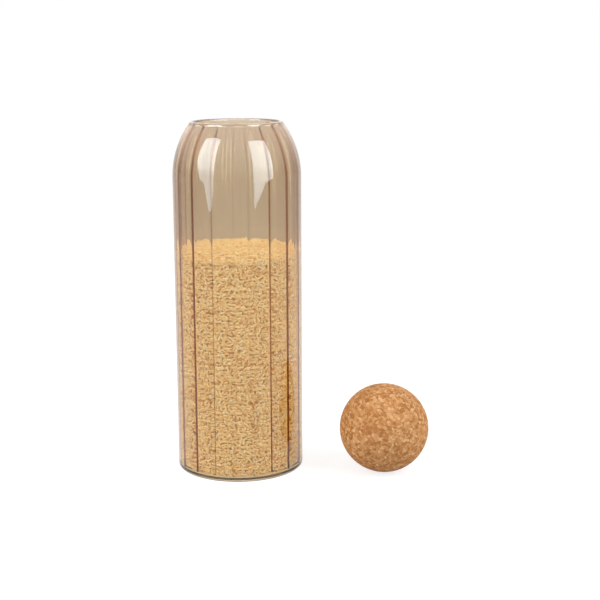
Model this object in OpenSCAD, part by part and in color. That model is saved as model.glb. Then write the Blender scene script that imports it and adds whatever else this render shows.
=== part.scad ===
// Tall ribbed glass jar with a cork ball for a lid, shown open, with the ball lying beside it.
// Millimetres. The origin is the centre of the jar's bottom, on the table, and +Z is up.
// The ball lies along +X.

/* [Jar] */
// Outer diameter of the straight body
body_d = 100; // [90:1:130]
// Height of the glass, without the lid
jar_h = 275; // [250:1:340]
// Thickness of the glass wall
wall = 2.2; // [1.6:0.1:4]
// Thickness of the bottom
floor_h = 3; // [2:0.5:10]
// Rounding of the outer edge of the bottom
base_edge_r = 3; // [1:0.5:6]
// Rounding inside, where the wall meets the bottom
inner_edge_r = 7; // [5:0.5:12]
// Radius of the arc that the shoulder curves in with
shoulder_r = 69; // [50:1:110]

/* [Mouth] */
// Inner diameter of the mouth
mouth_d = 65; // [54:1:70]
// Thickness of the rim, which is melted a little thicker than the wall
rim_t = 3.8; // [3:0.1:6]
// Rounding of the rim's two top edges
rim_edge_r = 1.4; // [0.5:0.1:1.4]
// Length of the straight stretch inside the mouth, below the rounding
mouth_land = 1.5; // [1:0.5:8]

/* [Ribs] */
// Number of ribs inside the wall
rib_count = 18; // [8:1:24]
// How far a rib stands in from the wall
rib_h = 1.1; // [0.4:0.1:1.5]
// Radius of a rib's rounded crest
rib_crest_r = 7; // [3:0.5:9]
// How much lower than the shoulder the ribs start to bend in, so that they grow higher towards the mouth
rib_gather = 0.6; // [0.4:0.1:1.5]
// Bearing of the first rib, turned from +X towards +Y
rib_turn = 15.5; // [0:0.5:45]

/* [Rice] */
// Height of the rice above the table, at its highest point
rice_top = 180; // [60:1:190]
// How much higher the rice lies in the middle than at the wall
rice_crown = 3; // [1:0.5:8]
// Gap between the rice and the glass
rice_gap = 0.3; // [0.2:0.1:1]

/* [Lid] */
// How much wider the cork ball is than the mouth it sits in
ball_over = 5; // [2:0.5:10]
// Gap on the table between the jar and the ball lying beside it
ball_gap = 31.2; // [10:0.1:60]

/* [Hidden] */
$fn = 180;
overlap = 0.05; // lets joined shapes share a little material
body_r = body_d/2;
mouth_r = mouth_d/2;
rim_r = mouth_r + rim_t;
inner_r = body_r - wall;
ball_r = (mouth_d + ball_over)/2;
ball_x = body_r + ball_gap + ball_r;
rim_z = jar_h - rim_edge_r; // where the rim's rounding starts
land_z = rim_z - mouth_land; // foot of the straight stretch in the mouth
arc_x = body_r - shoulder_r; // centre of the shoulder's arc
shoulder_turn = acos((rim_r - arc_x)/shoulder_r);
shoulder_z = rim_z - shoulder_r*sin(shoulder_turn);
rib_x = inner_r - rib_h + rib_crest_r; // centre of a rib's crest
rice_r = inner_r - rice_gap;
rice_side_z = rice_top - rice_crown;
crown_r = (rice_r*rice_r + rice_crown*rice_crown)/(2*rice_crown); // sphere through the rice's top and rim

// Straight side with a rounded foot of radius edge, from z = bottom up to z = top
module side_profile(r, bottom, top, edge) {
  translate([0, bottom + edge]) square([r, top - bottom - edge]);
  translate([0, bottom]) square([r - edge, edge + overlap]);
  intersection() {
    translate([r - edge, bottom + edge]) circle(edge);
    translate([r - edge - overlap, bottom]) square([edge + overlap, edge + overlap]);
  }
}

// Shoulder that curves in with the same centre for the outside and the inside
module shoulder_profile(r, top) {
  intersection() {
    translate([arc_x, shoulder_z]) circle(r, $fn = 360);
    translate([0, shoulder_z - overlap]) square([body_r, jar_h - shoulder_z]);
    square([body_r, top]);
  }
}

module outer_profile() {
  side_profile(body_r, 0, shoulder_z, base_edge_r);
  shoulder_profile(shoulder_r, rim_z);
  translate([0, rim_z - overlap]) square([rim_r - rim_edge_r, rim_edge_r + overlap]);
  intersection() {
    translate([rim_r - rim_edge_r, rim_z]) circle(rim_edge_r);
    translate([rim_r - rim_edge_r, rim_z]) square(rim_edge_r);
  }
}

// Inside of the wall, drawn in by gap
module inner_profile(gap = 0) {
  side_profile(inner_r - gap, floor_h, shoulder_z, inner_edge_r - gap);
  shoulder_profile(shoulder_r - wall - gap, land_z);
}

// Straight mouth with its rounded top edge
module mouth_profile() {
  translate([0, land_z - overlap]) square([mouth_r, jar_h - land_z + 2*overlap]);
  difference() {
    translate([0, rim_z]) square([mouth_r + rim_edge_r, rim_edge_r + overlap]);
    translate([mouth_r + rim_edge_r, rim_z]) circle(rim_edge_r);
  }
}

// Crests of the ribs: rods down the wall that go on round the shoulder, and end under the mouth
module ribs(gap = 0) {
  crest_r = rib_crest_r + gap;
  for (i = [0 : rib_count - 1])
    rotate([0, 0, rib_turn + i*360/rib_count]) {
      translate([rib_x, 0, 0]) cylinder(r = crest_r, h = shoulder_z - rib_gather);
      translate([arc_x, 0, shoulder_z - rib_gather]) rotate([90, 0, 0])
        rotate_extrude(angle = shoulder_turn + 8, $fn = 360)
          translate([rib_x - arc_x, 0]) circle(crest_r);
    }
}

module jar_glass() {
  color([0.77, 0.68, 0.58, 0.5])
    difference() {
      rotate_extrude() outer_profile();
      difference() {
        rotate_extrude() inner_profile();
        ribs();
      }
      rotate_extrude() mouth_profile();
    }
}

module rice() {
  color([0.86, 0.71, 0.5])
    difference() {
      intersection() {
        rotate_extrude() inner_profile(rice_gap);
        rotate_extrude() intersection() {
          translate([0, rice_top - crown_r]) circle(crown_r, $fn = 720);
          square([body_r, rice_top]);
        }
      }
      ribs(rice_gap);
    }
}

module cork_ball() {
  color([0.78, 0.57, 0.37])
    translate([ball_x, 0, ball_r]) sphere(ball_r);
}

jar_glass();
rice();
cork_ball();
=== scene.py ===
import math
import random

import bmesh
import bpy
from mathutils import Matrix, Vector, noise


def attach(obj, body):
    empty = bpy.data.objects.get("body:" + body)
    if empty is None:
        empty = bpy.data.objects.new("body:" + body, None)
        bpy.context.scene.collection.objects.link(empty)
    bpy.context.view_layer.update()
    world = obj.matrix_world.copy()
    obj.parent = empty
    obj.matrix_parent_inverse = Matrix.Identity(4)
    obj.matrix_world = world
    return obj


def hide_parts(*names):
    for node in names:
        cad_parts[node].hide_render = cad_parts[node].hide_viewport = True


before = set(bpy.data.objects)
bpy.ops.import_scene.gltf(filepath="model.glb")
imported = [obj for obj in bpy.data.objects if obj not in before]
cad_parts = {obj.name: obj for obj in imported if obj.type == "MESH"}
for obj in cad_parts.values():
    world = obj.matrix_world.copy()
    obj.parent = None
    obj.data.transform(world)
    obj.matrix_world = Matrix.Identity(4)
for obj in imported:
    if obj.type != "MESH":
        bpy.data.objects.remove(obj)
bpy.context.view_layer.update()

mm = 0.001


# sRGB hex to the linear colour that the shaders want
def linearColour(hexText):
    parts = [int(hexText[i:i + 2], 16) / 255 for i in (1, 3, 5)]
    linear = [p / 12.92 if p <= 0.04045 else ((p + 0.055) / 1.055) ** 2.4 for p in parts]
    return (linear[0], linear[1], linear[2], 1.0)


# one node, with its settings, its socket values and the links into it
def addNode(tree, kind, settings=None, values=None, links=None):
    node = tree.nodes.new(kind)
    for name, value in (settings or {}).items():
        setattr(node, name, value)
    for name, value in (values or {}).items():
        node.inputs[name].default_value = value
    for name, socket in (links or {}).items():
        tree.links.new(socket, node.inputs[name])
    return node


def newMaterial(name):
    material = bpy.data.materials.new(name)
    material.use_nodes = True
    material.node_tree.nodes.clear()
    return material


def fillRamp(node, stops):
    ramp = node.color_ramp
    while len(ramp.elements) < len(stops):
        ramp.elements.new(0.5)
    for element, (position, hexText) in zip(ramp.elements, stops):
        element.position = position
        element.color = linearColour(hexText)


# finished mesh to a scene object with its material
def makePiece(name, bm, material, smooth=True):
    for face in bm.faces:
        face.smooth = smooth
    mesh = bpy.data.meshes.new(name)
    bm.to_mesh(mesh)
    bm.free()
    mesh.materials.append(material)
    piece = bpy.data.objects.new(name, mesh)
    bpy.context.scene.collection.objects.link(piece)
    return piece


# camera: the photo's viewpoint, about a metre away and looking down a little
view = {
    "place": (0.2206, -0.9820, 0.3379),
    "heading": 9.90,  # degrees to the left of +Y
    "downward": 11.457,
    "roll": -0.271,
    "lens": 77.79,
    "sensor": 36.0,
}
cameraData = bpy.data.cameras.new("photoCamera")
cameraData.lens = view["lens"]
cameraData.sensor_width = view["sensor"]
cameraData.clip_start = 0.01
cameraData.clip_end = 60
camera = bpy.data.objects.new("photoCamera", cameraData)
turn = Matrix.Rotation(math.radians(view["heading"]), 4, "Z")
turn = turn @ Matrix.Rotation(math.radians(90 - view["downward"]), 4, "X")
turn = turn @ Matrix.Rotation(math.radians(view["roll"]), 4, "Z")
camera.matrix_world = Matrix.Translation(view["place"]) @ turn
bpy.context.scene.collection.objects.link(camera)
bpy.context.scene.camera = camera
bpy.context.scene.view_settings.view_transform = "Standard"
print("camera placed")

# studio: white surroundings, a white sweep under the jar and soft lamps
studio = {
    "fill": 0.72,  # light that comes from all round
    "floorRadius": 7.0,
    "floorDrop": 0.0002,  # keeps the table just under the glass
    "floorPaper": "#9A9A9A",
    "floorBounce": "#CFCFCF",
    "floorGlow": 0.78,
    "overheadBank": 3.0,  # soft bank above the set, which only shows as gloss on what faces up
}
rays = bpy.context.scene.cycles  # light turns round many times inside the ribs before it leaves the glass
rays.max_bounces = 24
rays.glossy_bounces = 24
rays.transmission_bounces = 24
rays.transparent_max_bounces = 24
rays.diffuse_bounces = 6


# 1 for the rays that look at the background, 0 for those that carry light
def lookingRay(tree):
    path = addNode(tree, "ShaderNodeLightPath")
    both = addNode(tree, "ShaderNodeMath", {"operation": "MAXIMUM"})
    tree.links.new(path.outputs["Is Camera Ray"], both.inputs[0])
    tree.links.new(path.outputs["Is Glossy Ray"], both.inputs[1])
    three = addNode(tree, "ShaderNodeMath", {"operation": "MAXIMUM"})
    tree.links.new(both.outputs[0], three.inputs[0])
    tree.links.new(path.outputs["Is Transmission Ray"], three.inputs[1])
    return three.outputs[0]


world = bpy.data.worlds.new("whiteStudio")
world.use_nodes = True
world.node_tree.nodes.clear()
tree = world.node_tree
strength = addNode(tree, "ShaderNodeMapRange", None, {"To Min": studio["fill"], "To Max": 1.0},
                   {"Value": lookingRay(tree)})
towards = addNode(tree, "ShaderNodeTexCoord")  # in a world this is the way that the ray goes
upward = addNode(tree, "ShaderNodeSeparateXYZ", None, None, {"Vector": towards.outputs["Generated"]})
overhead = addNode(tree, "ShaderNodeMapRange", None, {"To Max": studio["overheadBank"]},
                   {"Value": upward.outputs["Z"]})
path = addNode(tree, "ShaderNodeLightPath")
mirrored = addNode(tree, "ShaderNodeMath", {"operation": "MULTIPLY_ADD"})
tree.links.new(path.outputs["Is Glossy Ray"], mirrored.inputs[0])
tree.links.new(overhead.outputs[0], mirrored.inputs[1])
tree.links.new(strength.outputs[0], mirrored.inputs[2])
sky = addNode(tree, "ShaderNodeBackground", None, {"Color": (1, 1, 1, 1)},
              {"Strength": mirrored.outputs[0]})
addNode(tree, "ShaderNodeOutputWorld", None, None, {"Surface": sky.outputs[0]})
bpy.context.scene.world = world

sweep = newMaterial("paperSweep")  # matt white background paper
tree = sweep.node_tree
looking = lookingRay(tree)
paper = addNode(tree, "ShaderNodeBsdfDiffuse", None, {"Color": linearColour(studio["floorPaper"])})
glow = addNode(tree, "ShaderNodeEmission", None, {"Strength": studio["floorGlow"]})
shown = addNode(tree, "ShaderNodeAddShader")
tree.links.new(paper.outputs[0], shown.inputs[0])
tree.links.new(glow.outputs[0], shown.inputs[1])
bounce = addNode(tree, "ShaderNodeBsdfDiffuse", None, {"Color": linearColour(studio["floorBounce"])})
either = addNode(tree, "ShaderNodeMixShader", None, None, {"Fac": looking})
tree.links.new(bounce.outputs[0], either.inputs[1])
tree.links.new(shown.outputs[0], either.inputs[2])
addNode(tree, "ShaderNodeOutputMaterial", None, None, {"Surface": either.outputs[0]})
bm = bmesh.new()
bmesh.ops.create_circle(bm, cap_ends=True, segments=96, radius=studio["floorRadius"])
bmesh.ops.translate(bm, verts=bm.verts, vec=(0, 0, -studio["floorDrop"]))
floor = makePiece("studioFloor", bm, sweep, smooth=False)

# bearings are degrees round the jar from -Y towards +X
softLamps = [
    {"name": "softKeyLeft", "bearing": -58, "distance": 1.25, "lift": 0.8, "size": (0.9, 0.9),
     "watts": 13.5},
    {"name": "softKeyRight", "bearing": 72, "distance": 1.25, "lift": 0.8, "size": (0.9, 0.9),
     "watts": 11.5},
]
lampTarget = Vector((0.04, 0, 0.13))  # between jar and ball
# the two bright panels that the glass mirrors, from the floor up
# a row is height, left edge and right edge, in metres, and radiance
panels = [
    {"name": "panelLeft", "bearing": -26.3, "distance": 1.0,
     "rows": [(0.083, -0.20, -0.15, 4.6), (0.095, -0.25, -0.10, 5.0), (0.112, -0.30, -0.07, 5.2),
              (0.16, -0.49, -0.03, 5.2), (0.25, -0.58, -0.02, 5.4), (0.35, -0.62, -0.02, 6.4),
              (0.47, -0.72, -0.02, 9.0), (0.7, -0.77, -0.02, 9.9), (1.31, -0.77, -0.02, 9.9)]},
    {"name": "panelRight", "bearing": 42.7, "distance": 1.0,
     "rows": [(0.092, -0.015, 0.02, 4.6), (0.102, -0.02, 0.09, 4.8), (0.112, -0.02, 0.20, 5.6),
              (0.125, -0.02, 0.33, 6.2), (0.155, -0.03, 0.53, 6.6), (0.20, -0.04, 0.70, 6.8),
              (0.33, -0.045, 0.735, 7.0), (0.47, -0.03, 0.745, 9.0), (0.7, -0.03, 0.745, 9.6),
              (1.25, -0.03, 0.745, 9.6)]},
]
slatsPerRow = 4
lamps = softLamps[:]
for panel in panels:  # a panel is made of level slats that follow its slanting edges
    for number, (lower, upper) in enumerate(zip(panel["rows"], panel["rows"][1:])):
        slats = 1 if lower[1:] == upper[1:] else slatsPerRow
        for slat in range(slats):
            middle = [a + (b - a) * (slat + 0.5) / slats for a, b in zip(lower, upper)]
            height, left, right, radiance = middle
            deep = (upper[0] - lower[0]) / slats
            lamps.append({"name": panel["name"] + str(number + 1) + "Slat" + str(slat + 1),
                          "bearing": panel["bearing"], "distance": panel["distance"], "height": height,
                          "sideways": (left + right) / 2, "size": (right - left, deep),
                          "radiance": radiance})
for lamp in lamps:
    bearing = math.radians(lamp["bearing"])
    outward = Vector((math.sin(bearing), -math.cos(bearing), 0))
    along = Vector((math.cos(bearing), math.sin(bearing), 0))
    shine = "radiance" in lamp
    data = bpy.data.lights.new(lamp["name"], "AREA")
    data.shape = "RECTANGLE"
    data.size, data.size_y = lamp["size"]
    if shine:
        data.energy = lamp["radiance"] * math.pi * data.size * data.size_y
        place = outward * lamp["distance"] + along * lamp["sideways"] + Vector((0, 0, lamp["height"]))
        back = outward
        data.color = (0.75, 0.9, 1.0)  # a little cooler than the lamps
        data.use_nodes = True  # a panel shows in the glass where it is mirrored, not where it is looked at
        tree = data.node_tree
        path = addNode(tree, "ShaderNodeLightPath")
        mirrored = addNode(tree, "ShaderNodeMath", {"operation": "MINIMUM"})
        mirrored.inputs[1].default_value = 1.0
        tree.links.new(path.outputs["Glossy Depth"], mirrored.inputs[0])
        tree.links.new(mirrored.outputs[0], tree.nodes["Emission"].inputs["Strength"])
    else:
        data.energy = lamp["watts"]
        place = outward * lamp["distance"] + Vector((0, 0, lamp["lift"]))
        back = (place - lampTarget).normalized()
    across = Vector((0, 0, 1)).cross(back).normalized()
    turn = Matrix((across, back.cross(across), back)).transposed().to_4x4()
    holder = bpy.data.objects.new(lamp["name"], data)
    holder.matrix_world = Matrix.Translation(place) @ turn
    holder.visible_camera = False
    holder.visible_transmission = shine
    holder.visible_diffuse = not shine  # the panels only show as the glass's highlights
    holder.visible_glossy = shine
    bpy.context.scene.collection.objects.link(holder)
print("studio ready")

# glass jar, in millimetres
glassJar = {
    "radius": 50.0,
    "height": 275.0,
    "wall": 2.2,
    "floor": 2.4,
    "footRounding": 3.0,
    "innerFoot": 4.5,
    "shoulder": 69.0,  # radius of the shoulder's arc
    "mouth": 32.5,
    "rim": 3.8,
    "rimRounding": 1.4,
    "lipMeets": 0.8,  # how far under the rounding's centre the lip meets the wall
    "wallTop": 1.2,  # and how far under it the wall's own arc ends
    "rimSwell": 0.9,  # how much the wall thickens to the fire-polished rim
    "swellHeight": 17.0,
    "ribs": 18,
    "ribHeight": 1.1,
    "ribCrest": 7.0,
    "ribTurn": 15.5,
    "ribGather": 0.6,
    "ribFillet": 0.3,
    "waver": 0.08,  # unevenness of the blown wall, in broad and fine waves round it
    "broadWaves": 54,
    "fineWaves": 90,
    "around": 720,
}
innerRadius = glassJar["radius"] - glassJar["wall"]
innerArc = glassJar["shoulder"] - glassJar["wall"]
arcX = glassJar["radius"] - glassJar["shoulder"]
rimZ = glassJar["height"] - glassJar["rimRounding"]
lipZ = rimZ - glassJar["lipMeets"]
wallTopZ = rimZ - glassJar["wallTop"]
rimRadius = glassJar["mouth"] + glassJar["rim"]
shoulderTurn = math.degrees(math.acos((rimRadius - arcX) / glassJar["shoulder"]))
shoulderZ = rimZ - glassJar["shoulder"] * math.sin(math.radians(shoulderTurn))
innerFootZ = glassJar["floor"] + glassJar["innerFoot"]
ribBendZ = shoulderZ - glassJar["ribGather"]
ribReach = innerRadius - glassJar["ribHeight"] + glassJar["ribCrest"] - arcX


# distance from the axis of the wall's inner face, without its ribs
def wallRadius(z):
    if z < innerFootZ:
        drop = min(innerFootZ - z, glassJar["innerFoot"])
        return innerRadius - glassJar["innerFoot"] + math.sqrt(glassJar["innerFoot"] ** 2 - drop ** 2)
    if z < shoulderZ:
        return innerRadius
    rise = min(max((z - rimZ) / glassJar["swellHeight"] + 1, 0), 1)
    return arcX + math.sqrt(innerArc ** 2 - (z - shoulderZ) ** 2) - glassJar["rimSwell"] * rise * rise


# the same with the ribs: rods of round section that follow the wall, softened where they meet it
def ribbedRadius(z, bearing, radius):
    spacing = math.tau / glassJar["ribs"]
    first = math.radians(glassJar["ribTurn"])
    aside = radius * math.sin((bearing - first + spacing / 2) % spacing - spacing / 2)
    bulge = glassJar["ribCrest"] ** 2 - aside ** 2
    if bulge <= 0:
        return radius
    face = ribReach - math.sqrt(bulge)
    if z > ribBendZ:
        face = math.sqrt(face ** 2 - (z - ribBendZ) ** 2)
    ribRadius = math.hypot(arcX + face, aside)
    ribRadius += max(0, z - rimZ + 2) * 0.8  # they run out just under the rim
    soft = max(glassJar["ribFillet"] - abs(radius - ribRadius), 0) / glassJar["ribFillet"]
    return min(radius, ribRadius) - soft * soft * glassJar["ribFillet"] / 4


# from -1 to 1, and nothing near the foot and the rim
def wallWaver(z, bearing):
    drift = 0.6 * math.sin(7 * bearing)
    waver = 0.5 * math.sin(glassJar["broadWaves"] * bearing + 0.7)
    waver = waver + 0.5 * math.sin(glassJar["fineWaves"] * bearing + drift)
    return waver * (min(max((z - 20) / 30, 0), 1) * min(max((rimZ - z) / 20, 0), 1))


# the profile is drawn with a pen: straight strokes, and arcs swung round a centre
def penStroke(bm, tip, x, z):
    tip = bmesh.ops.extrude_vert_indiv(bm, verts=[tip])["verts"][0]
    tip.co = Vector((x, 0, z)) * mm
    return tip


def penArc(bm, tip, x, z, degrees, steps):
    swung = bmesh.ops.spin(bm, geom=[tip], cent=Vector((x, 0, z)) * mm, axis=(0, -1, 0),
                           angle=math.radians(degrees), steps=steps)
    return [part for part in swung["geom_last"] if isinstance(part, bmesh.types.BMVert)][0]


# soda-lime glass, mould-blown with ribs, fire-polished rim, tinted smoke-brown: what is seen through it is
# warmed at each wall, more so towards the sides, while what the outside mirrors stays white
glassLook = {
    "tint": "#E9E1D5",  # per surface, met head on; four surfaces give the colour of the empty jar
    "tintAslant": "#DBCBB8",  # per surface, met aslant: a longer way through the colour
    "mirrorTint": "#EED9B2",  # per turn inside the glass
    # painted shade: the foot's inner turns get a grey tint instead of the brown one, so what the bottom
    # mirrors shows as dark grey shade under the jar
    "footShadeTint": "#C9CBCB",  # in the foot, where the bottom mirrors the shade under the jar
    "ior": 1.5,
    "passing": "#FFFFFF",  # light on its way to the rice and the table
}
tintedGlass = newMaterial("smokeTintedGlass")
tree = tintedGlass.node_tree
aslant = addNode(tree, "ShaderNodeLayerWeight")
warmth = addNode(tree, "ShaderNodeMix", {"data_type": "RGBA"})
warmth.inputs[6].default_value = linearColour(glassLook["tint"])
warmth.inputs[7].default_value = linearColour(glassLook["tintAslant"])
tree.links.new(aslant.outputs["Facing"], warmth.inputs[0])
side = addNode(tree, "ShaderNodeNewGeometry")
mirrorTint = addNode(tree, "ShaderNodeMix", {"data_type": "RGBA"})
mirrorTint.inputs[6].default_value = (1, 1, 1, 1)
where = addNode(tree, "ShaderNodeTexCoord")
spot = addNode(tree, "ShaderNodeSeparateXYZ", None, None, {"Vector": where.outputs["Object"]})
low = addNode(tree, "ShaderNodeMapRange", None, {"From Min": 1 * mm, "From Max": 3 * mm},
              {"Value": spot.outputs["Z"]})
insideTint = addNode(tree, "ShaderNodeMix", {"data_type": "RGBA"})
insideTint.inputs[6].default_value = linearColour(glassLook["footShadeTint"])
insideTint.inputs[7].default_value = linearColour(glassLook["mirrorTint"])
tree.links.new(low.outputs[0], insideTint.inputs[0])
tree.links.new(insideTint.outputs[2], mirrorTint.inputs[7])
tree.links.new(side.outputs["Backfacing"], mirrorTint.inputs[0])
bending = addNode(tree, "ShaderNodeBsdfRefraction", None, {"Roughness": 0.0, "IOR": glassLook["ior"]},
                  {"Color": warmth.outputs[2]})
mirroring = addNode(tree, "ShaderNodeBsdfAnisotropic", None, {"Roughness": 0.0},
                    {"Color": mirrorTint.outputs[2]})
share = addNode(tree, "ShaderNodeFresnel", None, {"IOR": glassLook["ior"]})
glassShader = addNode(tree, "ShaderNodeMixShader", None, None, {"Fac": share.outputs[0]})
tree.links.new(bending.outputs[0], glassShader.inputs[1])
tree.links.new(mirroring.outputs[0], glassShader.inputs[2])
through = addNode(tree, "ShaderNodeBsdfTransparent", None, {"Color": linearColour(glassLook["passing"])})
path = addNode(tree, "ShaderNodeLightPath")
carrying = addNode(tree, "ShaderNodeMath", {"operation": "MAXIMUM"})
tree.links.new(path.outputs["Is Shadow Ray"], carrying.inputs[0])
tree.links.new(path.outputs["Is Diffuse Ray"], carrying.inputs[1])
either = addNode(tree, "ShaderNodeMixShader", None, None, {"Fac": carrying.outputs[0]})
tree.links.new(glassShader.outputs[0], either.inputs[1])
tree.links.new(through.outputs[0], either.inputs[2])
addNode(tree, "ShaderNodeOutputMaterial", None, None, {"Surface": either.outputs[0]})

bm = bmesh.new()
foot = glassJar["footRounding"]
rimRound = glassJar["rimRounding"]
tip = bmesh.ops.create_vert(bm, co=(0, 0, 0))["vert"][0]
tip = penStroke(bm, tip, glassJar["radius"] - foot, 0)
tip = penArc(bm, tip, glassJar["radius"] - foot, foot, 90, 8)
tip = penStroke(bm, tip, glassJar["radius"], shoulderZ)
tip = penArc(bm, tip, arcX, shoulderZ, shoulderTurn, 30)
tip = penArc(bm, tip, rimRadius - rimRound, rimZ, 90, 6)
lipTurn = math.degrees(math.asin((lipZ - shoulderZ) / innerArc))
lipX = wallRadius(lipZ) + rimRound * math.cos(math.radians(lipTurn))
tip = penStroke(bm, tip, lipX, glassJar["height"])
tip = penArc(bm, tip, lipX, rimZ, 90 + lipTurn, 9)
tip = penStroke(bm, tip, arcX + math.sqrt(innerArc ** 2 - (wallTopZ - shoulderZ) ** 2), wallTopZ)
innerTurn = math.degrees(math.asin((wallTopZ - shoulderZ) / innerArc))
tip = penArc(bm, tip, arcX, shoulderZ, -innerTurn, 40)
tip = penStroke(bm, tip, innerRadius, ribBendZ)
tip = penStroke(bm, tip, innerRadius, innerFootZ)
tip = penArc(bm, tip, innerRadius - glassJar["innerFoot"], innerFootZ, -90, 12)
tip = penStroke(bm, tip, 0, glassJar["floor"])
inside = bm.verts.layers.int.new("inside")
near = 0.01
for vert in bm.verts:
    x = vert.co.x / mm
    z = vert.co.z / mm
    inCavity = glassJar["floor"] + near < z < wallTopZ + 0.1 and glassJar["mouth"] < x < innerRadius + near
    underShoulder = math.hypot(x - arcX, z - shoulderZ) < innerArc + near or z < shoulderZ
    vert[inside] = 1 if inCavity and underShoulder else 0
bmesh.ops.spin(bm, geom=bm.verts[:] + bm.edges[:], cent=(0, 0, 0), axis=(0, 0, 1), angle=math.tau,
               steps=glassJar["around"], use_merge=True)
bmesh.ops.remove_doubles(bm, verts=bm.verts, dist=1e-6)
for vert in bm.verts:
    if vert[inside]:
        radius = math.hypot(vert.co.x, vert.co.y) / mm
        bearing = math.atan2(vert.co.y, vert.co.x)
        z = vert.co.z / mm
        wall = min(radius, wallRadius(z)) - glassJar["waver"] * (1 + wallWaver(z, bearing))
        ribbed = ribbedRadius(z, bearing, wall)
        vert.co.x *= ribbed / radius
        vert.co.y *= ribbed / radius
bmesh.ops.recalc_face_normals(bm, faces=bm.faces)
jar = makePiece("ribbedGlassJar", bm, tintedGlass)
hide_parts("jar_glass")
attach(jar, "jar")
print("glass jar made,", len(jar.data.polygons), "faces")

# brown rice, in millimetres
rice = {
    "top": 180.0,
    "crown": 3.0,
    "frontDrop": 3.0,  # the heap lies lower at the front than at the back
    "clear": 0.35,  # between grain and glass
    "length": 4.0,
    "thickness": 1.65,
    "rowStep": 1.9,
    "alongStep": 2.4,
    "layers": 2,
    "layerStep": 0.9,
    "topStep": 2.1,
    "lean": 0.85,  # spread of a grain's turn on the glass, in radians
    "tilt": 0.2,  # and of its tip towards or away from the glass
    "deeperTilt": 0.15,
    "topTilt": 0.3,
    "unevenness": 1.2,
    "unevenSize": 8,
    "seed": 7,
    "grainsInPiece": 4800,
}
crownRadius = (innerRadius ** 2 + rice["crown"] ** 2) / (2 * rice["crown"])


def riceHeight(x, y):
    level = rice["top"] - crownRadius + math.sqrt(max(crownRadius ** 2 - x * x - y * y, 0))
    level += rice["unevenness"] * noise.noise(Vector((x, y, 5)) / rice["unevenSize"]) - 0.4
    return min(level, rice["top"]) - rice["frontDrop"] * max(0, -y / innerRadius) ** 0.8


# brown rice, hulled but not polished: satin bran, cream to straw from grain to grain; between the grains
# the colour is a little darker, which is painted shade
riceLook = {
    "tones": [(0.0, "#E0AE64"), (0.25, "#F6D190"), (0.6, "#FFE6AA"), (0.85, "#FFEDC0"),
              (1.0, "#FFF4D2")],
    "paintedGapShade": [(0.0, "#EAC388"), (0.5, "#D9AB68"), (0.9, "#B98A4C")],
    "gapCell": 2.4,
    "bran": 1.2,  # streaks on a grain, mm
    "roughness": 0.6,
}
grainSkin = newMaterial("brownRiceBran")
tree = grainSkin.node_tree
where = addNode(tree, "ShaderNodeTexCoord")
tone = addNode(tree, "ShaderNodeAttribute", {"attribute_name": "grainTone"})
streak = addNode(tree, "ShaderNodeTexNoise", None, {"Scale": 1 / (riceLook["bran"] * mm), "Detail": 2.0},
                 {"Vector": where.outputs["Object"]})
shift = addNode(tree, "ShaderNodeMath", {"operation": "MULTIPLY_ADD"})
shift.inputs[1].default_value = 0.3
shift.inputs[2].default_value = -0.15
tree.links.new(streak.outputs["Fac"], shift.inputs[0])
both = addNode(tree, "ShaderNodeMath", {"operation": "ADD", "use_clamp": True})
tree.links.new(shift.outputs[0], both.inputs[0])
tree.links.new(tone.outputs["Fac"], both.inputs[1])
colour = addNode(tree, "ShaderNodeValToRGB", None, None, {"Fac": both.outputs[0]})
fillRamp(colour, riceLook["tones"])
skin = addNode(tree, "ShaderNodeBsdfPrincipled", None,
               {"Roughness": riceLook["roughness"], "IOR": 1.45, "Specular IOR Level": 0.3},
               {"Base Color": colour.outputs["Color"]})
addNode(tree, "ShaderNodeOutputMaterial", None, None, {"Surface": skin.outputs[0]})

# painted shade: the core is coloured darker than the grains, and darker still away from its cell points,
# for the shade between the grains
riceInPaintedShade = newMaterial("riceInPaintedShade")  # what shows between the grains: the same rice, in shade
tree = riceInPaintedShade.node_tree
where = addNode(tree, "ShaderNodeTexCoord")
cells = addNode(tree, "ShaderNodeTexVoronoi", None, {"Scale": 1 / (riceLook["gapCell"] * mm)},
                {"Vector": where.outputs["Object"]})
colour = addNode(tree, "ShaderNodeValToRGB", None, None, {"Fac": cells.outputs["Distance"]})
fillRamp(colour, riceLook["paintedGapShade"])
bump = addNode(tree, "ShaderNodeBump", {"invert": True}, {"Strength": 0.6, "Distance": 0.6 * mm},
               {"Height": cells.outputs["Distance"]})
skin = addNode(tree, "ShaderNodeBsdfPrincipled", None, {"Roughness": 0.75, "Specular IOR Level": 0.2},
               {"Base Color": colour.outputs["Color"], "Normal": bump.outputs["Normal"]})
addNode(tree, "ShaderNodeOutputMaterial", None, None, {"Surface": skin.outputs[0]})

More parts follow.
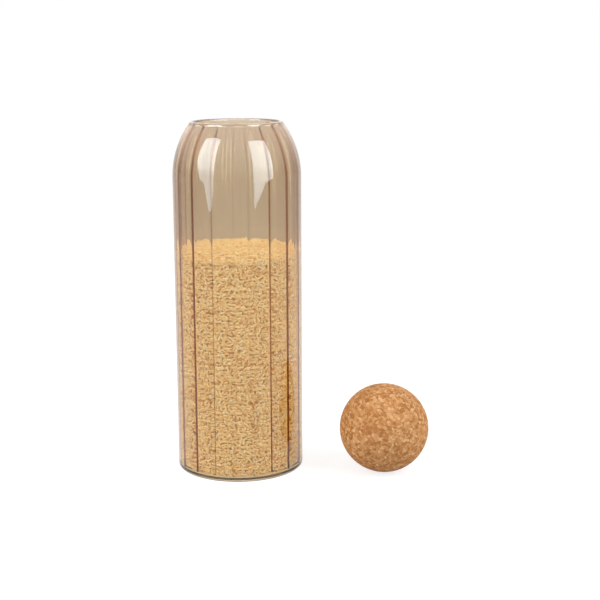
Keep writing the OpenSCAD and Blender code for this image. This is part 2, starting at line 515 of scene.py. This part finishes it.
bm = bmesh.new()
coreInset = rice["clear"] + 2.1
coreRadius = innerRadius - coreInset
coreFoot = glassJar["floor"] + 1.8
tip = bmesh.ops.create_vert(bm, co=(0, 0, coreFoot * mm))["vert"][0]
tip = penStroke(bm, tip, coreRadius - 6, coreFoot)
tip = penArc(bm, tip, coreRadius - 6, coreFoot + 6, 90, 6)
tip = penStroke(bm, tip, coreRadius, rice["top"] - rice["crown"] - 2.2)
for part in range(10, -1, -1):
    tip = penStroke(bm, tip, coreRadius * part / 11, rice["top"] - 2.0)
bmesh.ops.spin(bm, geom=bm.verts[:] + bm.edges[:], cent=(0, 0, 0), axis=(0, 0, 1), angle=math.tau,
               steps=360, use_merge=True)
bmesh.ops.remove_doubles(bm, verts=bm.verts, dist=1e-6)
for vert in bm.verts:  # the core follows the heap above and the ribs at the side
    x, y, z = vert.co / mm
    radius = math.hypot(x, y)
    if z > rice["top"] - rice["crown"] - 2.3:
        vert.co.z = (riceHeight(x, y) - 2.0) * mm
    elif z > coreFoot + 5.9:
        bearing = math.atan2(y, x)
        vert.co *= (ribbedRadius(z, bearing, innerRadius) - coreInset) / radius
        vert.co.z = z * mm
bmesh.ops.recalc_face_normals(bm, faces=bm.faces)
core = makePiece("riceCore", bm, riceInPaintedShade)
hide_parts("rice")
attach(core, "jar")

# where each grain lies: its place, the direction of its length, and outward for its thickness
chance = random.Random(rice["seed"])
grains = []
for layer in range(rice["layers"]):
    rows = int((rice["top"] - glassJar["floor"] - 2) / rice["rowStep"])
    for row in range(rows):
        z = glassJar["floor"] + 1.2 + rice["rowStep"] * (row + 0.5 + chance.uniform(-0.35, 0.35))
        depth = rice["clear"] + rice["thickness"] / 2 + layer * rice["layerStep"]
        count = int(math.tau * (wallRadius(z) - depth) / (rice["alongStep"] * (1 + 0.4 * layer)))
        offset = chance.random()
        for step in range(count):
            bearing = math.tau * (step + offset + chance.uniform(-0.35, 0.35)) / count
            height = max(z + chance.uniform(-0.9, 0.9), glassJar["floor"] + 1.2)
            level = wallRadius(height)
            if height > riceHeight(level * math.cos(bearing), level * math.sin(bearing)) - 0.4:
                continue
            radius = ribbedRadius(height, bearing, level) - depth - chance.uniform(0, 0.35)
            outward = Vector((math.cos(bearing), math.sin(bearing), 0))
            if height < innerFootZ:
                fall = (innerFootZ - height) / glassJar["innerFoot"]
                outward = (outward * math.sqrt(max(1 - fall ** 2, 0)) + Vector((0, 0, -fall))).normalized()
            sideways = Vector((-math.sin(bearing), math.cos(bearing), 0))
            upward = outward.cross(sideways)
            lean = chance.gauss(0, rice["lean"])
            tilt = chance.gauss(0, rice["tilt"] + rice["deeperTilt"] * layer)
            length = sideways * math.cos(lean) + upward * math.sin(lean)
            length = (length * math.cos(tilt) - outward * math.sin(tilt)).normalized()
            place = Vector((math.cos(bearing) * radius, math.sin(bearing) * radius, height))
            grains.append((place, length, outward))
for layer in range(rice["layers"]):
    steps = int(innerRadius / rice["topStep"] / 0.87) + 1
    for row in range(-steps, steps + 1):
        for column in range(-steps, steps + 1):
            x = (column + (row % 2) / 2 + chance.uniform(-0.4, 0.4)) * rice["topStep"]
            y = (row + chance.uniform(-0.4, 0.4)) * rice["topStep"] * 0.87
            if math.hypot(x, y) > innerRadius - 1.1:
                continue
            z = riceHeight(x, y) - 0.95 - layer * 1.1 - chance.uniform(0, 0.5)
            heading = chance.uniform(0, math.tau)
            tilt = chance.gauss(0, rice["topTilt"])
            flat = math.cos(tilt)
            length = Vector((math.cos(heading) * flat, math.sin(heading) * flat, math.sin(tilt)))
            grains.append((Vector((x, y, z)), length, Vector((0, 0, 1))))

# one grain is a long low ball with a few faces; it is laid again and again
bm = bmesh.new()
bmesh.ops.create_uvsphere(bm, u_segments=6, v_segments=4, radius=1)
grainShape = [part for vert in bm.verts for part in vert.co]
pointsInGrain = len(bm.verts)
oneGrain = bpy.data.meshes.new("oneGrain")
bm.to_mesh(oneGrain)
bm.free()

total = 0
pieceCount = math.ceil(len(grains) / rice["grainsInPiece"])
perPiece = math.ceil(len(grains) / pieceCount)
for number in range(pieceCount):
    heap = bmesh.new()
    share = grains[number * perPiece:(number + 1) * perPiece]
    for place, length, up in share:
        across = up.cross(length).normalized()
        up = length.cross(across)
        long = rice["length"] * chance.uniform(0.8, 1.1) / 2
        wide = rice["thickness"] * chance.uniform(0.95, 1.2) / 2
        thick = rice["thickness"] * chance.uniform(0.8, 1.0) / 2
        turn = Matrix((across * wide, up * thick, length * long)).transposed().to_4x4()
        oneGrain.vertices.foreach_set("co", grainShape)
        oneGrain.transform(Matrix.Translation(place) @ turn)
        heap.from_mesh(oneGrain, face_normals=False, vertex_normals=False)
    tones = heap.verts.layers.float.new("grainTone")
    tone = 0.5
    for index, vert in enumerate(heap.verts):
        if index % pointsInGrain == 0:
            tone = min(max(chance.gauss(0.55, 0.22), 0), 1)
        vert[tones] = tone
        x, y, z = vert.co  # kept off the glass and under the heap's highest point
        z = min(max(z, glassJar["floor"] + rice["clear"]), rice["top"])
        radius = math.hypot(x, y)
        limit = wallRadius(z) - rice["clear"]
        if radius > limit - glassJar["ribHeight"] - 0.3:
            limit = ribbedRadius(z, math.atan2(y, x), limit + rice["clear"]) - rice["clear"]
        shrink = min(1, limit / max(radius, 0.001))
        vert.co = Vector((x * shrink, y * shrink, z)) * mm
    heap.normal_update()
    grainPiece = makePiece("riceGrains" + str(number + 1), heap, grainSkin)
    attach(grainPiece, "jar")
    total += len(grainPiece.data.polygons)
bpy.data.meshes.remove(oneGrain)
print("rice poured,", len(grains), "grains,", total, "faces")

# cork ball, in millimetres
corkBall = {
    "radius": 35.0,
    "centre": (116.2, 0.0, 35.0),
    "granule": 2.1,
    "relief": 0.09,
    "pitDepth": 0.45,
    "pitFrom": 0.42,  # where the noise is higher than this there is a pit
    "pitEdge": 0.12,
}

# agglomerated cork: granules pressed with a little binder and turned to a ball on a lathe, unsealed:
# matt, warm tan granules of mixed tone, with dark bark specks and small open pits
corkLook = {
    "granules": [(0.0, "#9C663B"), (0.22, "#AB7545"), (0.45, "#B78250"), (0.7, "#C08E5B"),
                 (0.9, "#C89968"), (1.0, "#D2A97D")],
    "bark": "#693F21",
    "roughness": 0.88,
}
cork = newMaterial("agglomeratedCork")
tree = cork.node_tree
where = addNode(tree, "ShaderNodeTexCoord")
wander = addNode(tree, "ShaderNodeTexNoise", None, {"Scale": 1 / (3.0 * mm), "Detail": 2.0},
                 {"Vector": where.outputs["Object"]})
swirl = addNode(tree, "ShaderNodeVectorMath", {"operation": "MULTIPLY_ADD"})
tree.links.new(wander.outputs["Color"], swirl.inputs[0])
swirl.inputs[1].default_value = (1.6 * mm, 1.6 * mm, 1.6 * mm)
tree.links.new(where.outputs["Object"], swirl.inputs[2])
granule = addNode(tree, "ShaderNodeTexVoronoi", None, {"Scale": 1 / (corkBall["granule"] * mm)},
                  {"Vector": swirl.outputs[0]})
split = addNode(tree, "ShaderNodeSeparateColor", None, None, {"Color": granule.outputs["Color"]})
grain = addNode(tree, "ShaderNodeTexNoise", None,
                {"Scale": 1 / (0.8 * mm), "Detail": 3.0, "Roughness": 0.6},
                {"Vector": where.outputs["Object"]})
mixed = addNode(tree, "ShaderNodeMath", {"operation": "MULTIPLY_ADD"})
tree.links.new(grain.outputs["Fac"], mixed.inputs[0])
mixed.inputs[1].default_value = 0.55
tree.links.new(split.outputs["Red"], mixed.inputs[2])
centred = addNode(tree, "ShaderNodeMath", {"operation": "SUBTRACT", "use_clamp": True})
tree.links.new(mixed.outputs[0], centred.inputs[0])
centred.inputs[1].default_value = 0.27
body = addNode(tree, "ShaderNodeValToRGB", None, None, {"Fac": centred.outputs[0]})
fillRamp(body, corkLook["granules"])
seam = addNode(tree, "ShaderNodeTexVoronoi", {"feature": "DISTANCE_TO_EDGE"},
               {"Scale": 1 / (corkBall["granule"] * mm)}, {"Vector": swirl.outputs[0]})
patchy = addNode(tree, "ShaderNodeTexNoise", None, {"Scale": 1 / (4.5 * mm), "Detail": 2.0},
                 {"Vector": where.outputs["Object"]})
seamLine = addNode(tree, "ShaderNodeMapRange", None,
                   {"From Min": 0.0, "From Max": 0.11, "To Min": 1.0, "To Max": 0.0},
                   {"Value": seam.outputs["Distance"]})
patchMask = addNode(tree, "ShaderNodeMapRange", None, {"From Min": 0.42, "From Max": 0.62},
                    {"Value": patchy.outputs["Fac"]})
seamShown = addNode(tree, "ShaderNodeMath", {"operation": "MULTIPLY"})
tree.links.new(seamLine.outputs[0], seamShown.inputs[0])
tree.links.new(patchMask.outputs[0], seamShown.inputs[1])
speck = addNode(tree, "ShaderNodeTexNoise", None,
                {"Scale": 1 / (1.3 * mm), "Detail": 2.0, "Roughness": 0.5},
                {"Vector": swirl.outputs[0]})
speckMask = addNode(tree, "ShaderNodeMapRange", None, {"From Min": 0.66, "From Max": 0.74},
                    {"Value": speck.outputs["Fac"]})
dark = addNode(tree, "ShaderNodeMath", {"operation": "MULTIPLY_ADD", "use_clamp": True})
tree.links.new(seamShown.outputs[0], dark.inputs[0])
dark.inputs[1].default_value = 0.45
tree.links.new(speckMask.outputs[0], dark.inputs[2])
barked = addNode(tree, "ShaderNodeMix", {"data_type": "RGBA"})
tree.links.new(dark.outputs[0], barked.inputs[0])
tree.links.new(body.outputs["Color"], barked.inputs[6])
barked.inputs[7].default_value = linearColour(corkLook["bark"])
rough = addNode(tree, "ShaderNodeMath", {"operation": "MULTIPLY_ADD"})
tree.links.new(dark.outputs[0], rough.inputs[0])
rough.inputs[1].default_value = -1.0
tree.links.new(grain.outputs["Fac"], rough.inputs[2])
bump = addNode(tree, "ShaderNodeBump", None, {"Strength": 0.6, "Distance": 0.25 * mm},
               {"Height": rough.outputs[0]})
skin = addNode(tree, "ShaderNodeBsdfPrincipled", None,
               {"Roughness": corkLook["roughness"], "Specular IOR Level": 0.25, "IOR": 1.45},
               {"Base Color": barked.outputs[2], "Normal": bump.outputs["Normal"]})
addNode(tree, "ShaderNodeOutputMaterial", None, None, {"Surface": skin.outputs[0]})

bm = bmesh.new()
centre = Vector(corkBall["centre"]) * mm
bmesh.ops.create_icosphere(bm, subdivisions=7, radius=corkBall["radius"] * mm)
for vert in bm.verts:
    spot = vert.co / (corkBall["granule"] * mm)
    distances = noise.voronoi(spot)[0]
    edge = min(1, (distances[1] - distances[0]) / 0.25)  # 0 in a seam, 1 on a granule
    sunk = corkBall["relief"] * (1 - edge) + corkBall["relief"] * max(0, noise.noise(spot * 0.8))
    pit = noise.noise(spot * 0.55 + Vector((31, 7, 13)))
    if pit > corkBall["pitFrom"]:
        sunk += corkBall["pitDepth"] * min(1, (pit - corkBall["pitFrom"]) / corkBall["pitEdge"])
    vert.co *= 1 - sunk / corkBall["radius"]
bmesh.ops.translate(bm, verts=bm.verts, vec=centre)
ball = makePiece("corkBallLid", bm, cork)
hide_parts("cork_ball")
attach(ball, "lid")
print("cork ball turned,", len(ball.data.polygons), "faces")
